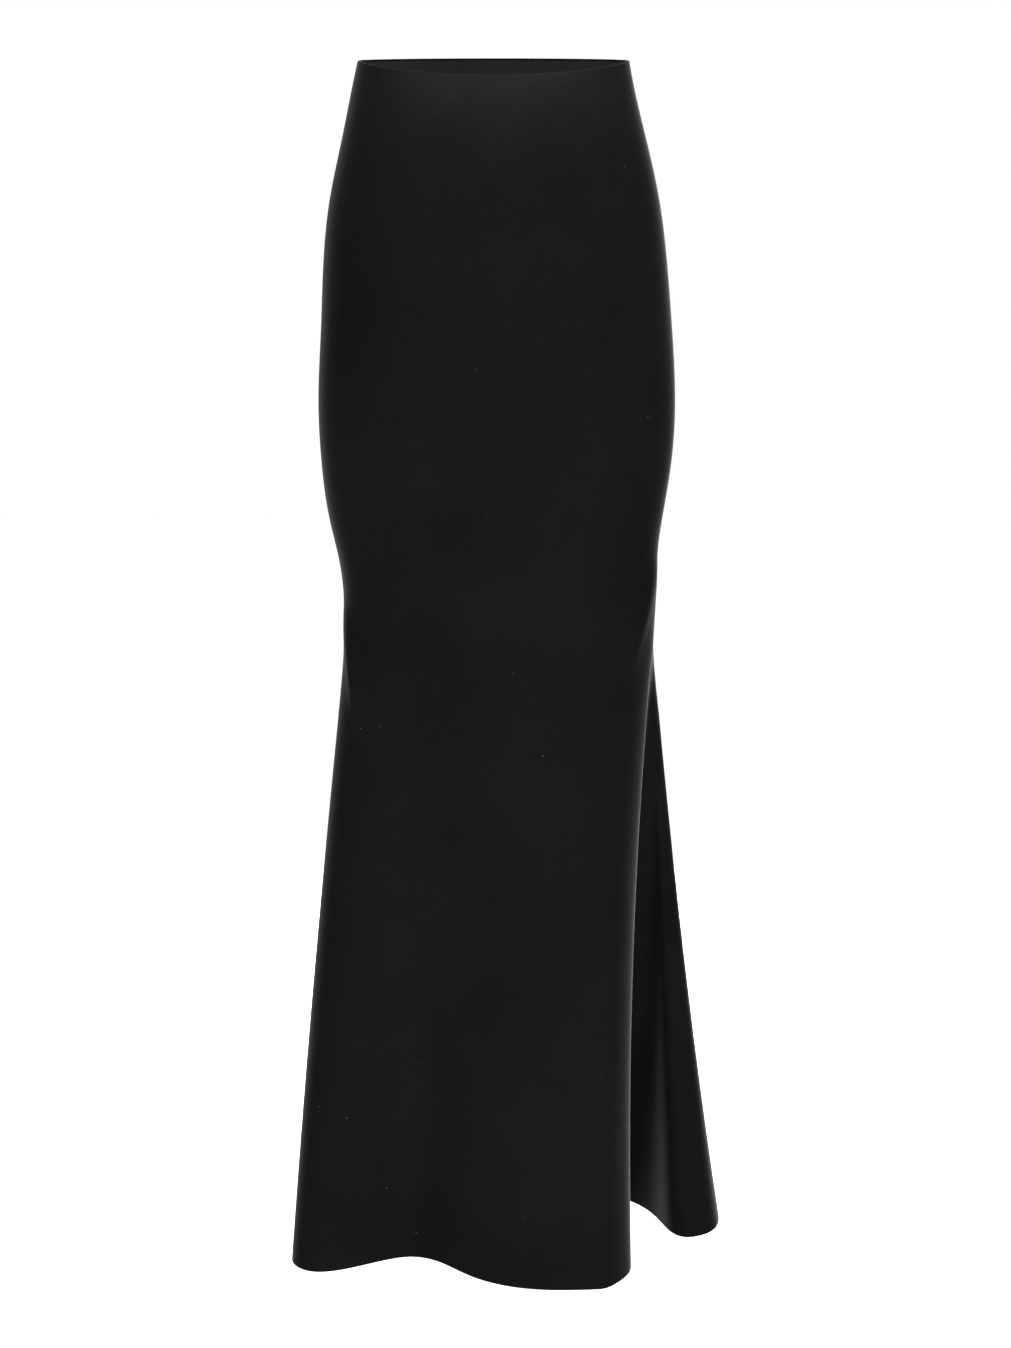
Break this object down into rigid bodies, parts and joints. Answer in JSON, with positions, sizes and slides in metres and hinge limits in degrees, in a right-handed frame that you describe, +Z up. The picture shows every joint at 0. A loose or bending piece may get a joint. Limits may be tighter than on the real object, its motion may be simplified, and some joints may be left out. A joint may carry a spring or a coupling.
{
  "type": "mermaid fishtail skirt",
  "caption": "Long close-fitting skirt, open at waist and hem, that narrows at the knees and flares into deep folds at the hem.",
  "frame": {"origin": "centre of the waist opening, level with the waist edge at the sides", "axes": "+X to the right of someone facing the front, +Y to the back, +Z up along the body"},
  "size_m": [0.3965, 0.4636, 1.0805],
  "materials": {
    "velvet_front": "black stretch velvet with a short dense pile",
    "velvet_back": "black stretch velvet with a short dense pile"
  },
  "bodies": {
    "root": {"front_panel": "velvet_front", "back_panel": "velvet_back"}
  },
  "joints": []
}
